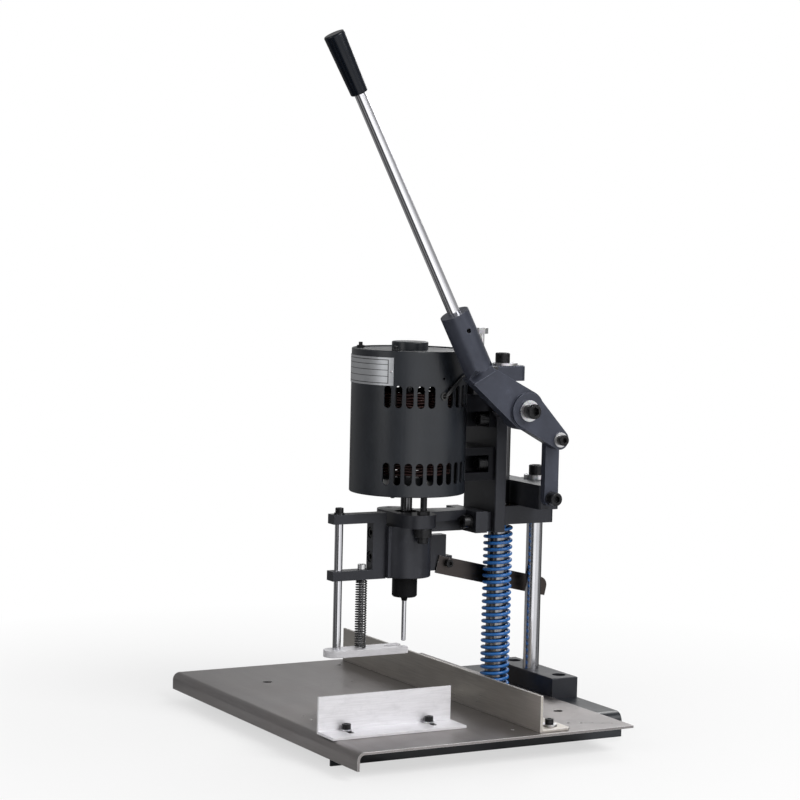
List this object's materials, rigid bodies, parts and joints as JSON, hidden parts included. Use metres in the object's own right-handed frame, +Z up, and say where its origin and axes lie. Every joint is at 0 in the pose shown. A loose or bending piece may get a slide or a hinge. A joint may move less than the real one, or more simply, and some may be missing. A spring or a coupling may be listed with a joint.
{
  "type": "paper drill",
  "caption": "Bench-top paper drill: hand lever and link lower a motor head on two columns, with a sprung foot, over a steel table with fence and side guide.",
  "frame": {"origin": "on the floor, below the middle of the machine's footprint", "axes": "+X to the operator's right, +Y to the back, +Z up; X = 0 holds the drill and both columns"},
  "size_m": [0.496, 0.4104, 0.8232],
  "materials": {
    "dark_paint": "gloss",
    "table_steel": "satin",
    "bare_steel": "satin",
    "black_oxide": "satin",
    "ground_steel": "polished",
    "zinc": "satin",
    "spring_blue": "gloss",
    "spring_black": "satin",
    "aluminium": "satin",
    "motor_paint": "gloss",
    "label_sheet": "satin",
    "bronze": "satin",
    "core_steel": "matte",
    "copper_winding": "satin",
    "black_plastic": "matte",
    "white_plastic": "matte",
    "rubber": "matte"
  },
  "bodies": {
    "base": {"base_tray": "dark_paint", "base_bar": "bare_steel", "table_plate": "table_steel", "cutting_pad": "white_plastic", "column_block": "black_oxide", "base_screws": "black_oxide", "front_column": "ground_steel", "rear_column": "ground_steel", "top_plate": "black_oxide", "stop_bolt": "zinc", "rear_crosshead": "black_oxide", "column_washers": "zinc", "column_cap_screws": "black_oxide", "link_pin": "black_oxide", "table_washers": "zinc", "table_screws": "black_oxide", "return_spring": "spring_blue"},
    "fence": {"fence": "bare_steel"},
    "side_guide": {"side_guide": "aluminium"},
    "carriage": {"carriage_plate": "black_oxide", "carriage_arm": "black_oxide", "upper_arm": "black_oxide", "column_bushes": "bronze", "pivot_shaft": "ground_steel", "pivot_washer": "zinc", "pivot_screw": "black_oxide", "spindle_bracket": "black_oxide", "carriage_screws": "black_oxide", "motor_saddles": "black_oxide", "motor_shell": "motor_paint", "motor_top_cover": "motor_paint", "motor_bottom_cover": "motor_paint", "stator_core": "core_steel", "stator_windings": "copper_winding", "ball_bearings": "ground_steel", "motor_studs": "zinc", "name_plate": "label_sheet", "lead_gland": "rubber", "motor_leads": "rubber", "terminal_block": "black_plastic", "spindle_housing": "black_oxide", "rear_strip": "bare_steel", "housing_screws": "black_oxide", "hold_down_bracket": "black_oxide", "foot_spring": "spring_black"},
    "spindle": {"motor_rotor": "core_steel", "motor_shaft": "ground_steel", "shaft_coupling": "bare_steel", "spindle": "ground_steel", "drill_chuck": "black_oxide", "drill_bit": "bare_steel"},
    "lever": {"lever_arm": "black_oxide", "lever_socket": "black_oxide", "lever_rod": "ground_steel", "lever_grip": "black_plastic", "lever_screws": "black_oxide"},
    "link": {"link_bar": "black_oxide"},
    "foot": {"pressure_foot": "aluminium", "guide_rod": "ground_steel", "foot_screws": "zinc"}
  },
  "joints": [
    {"name": "head_slide", "type": "slide", "parent": "base", "child": "carriage", "axis": [0, 0, -1], "range_m": [0, 0.069], "stiffness_N_per_m": 1500, "springref_m": -0.15, "deforming": ["return_spring"]},
    {"name": "lever_hinge", "type": "hinge", "parent": "carriage", "child": "lever", "pos_m": [0, 0.0987, 0.3874], "axis": [1, 0, 0], "range_deg": [0, 73]},
    {"name": "link_hinge", "type": "hinge", "parent": "base", "child": "link", "pos_m": [0, 0.1444, 0.2788], "axis": [1, 0, 0], "range_deg": [-2, 0]},
    {"name": "spindle_spin", "type": "hinge", "parent": "carriage", "child": "spindle", "pos_m": [0, -0.0103, 0.2], "axis": [0, 0, 1], "continuous": true},
    {"name": "foot_slide", "type": "slide", "parent": "carriage", "child": "foot", "axis": [0, 0, 1], "range_m": [0, 0.034], "stiffness_N_per_m": 300, "springref_m": -0.03, "deforming": ["foot_spring"]},
    {"name": "fence_slide", "type": "slide", "parent": "base", "child": "fence", "axis": [0, 1, 0], "range_m": [-0.006, 0.006]},
    {"name": "guide_slide", "type": "slide", "parent": "base", "child": "side_guide", "axis": [1, 0, 0], "range_m": [-0.012, 0]}
  ],
  "couplings": [
    {"joint": "lever_hinge", "follows": "head_slide", "rad_per_m": 18.423},
    {"joint": "link_hinge", "follows": "head_slide", "rad_per_m": -0.41626},
    {"joint": "foot_slide", "follows": "head_slide", "ratio": 0.2}
  ]
}
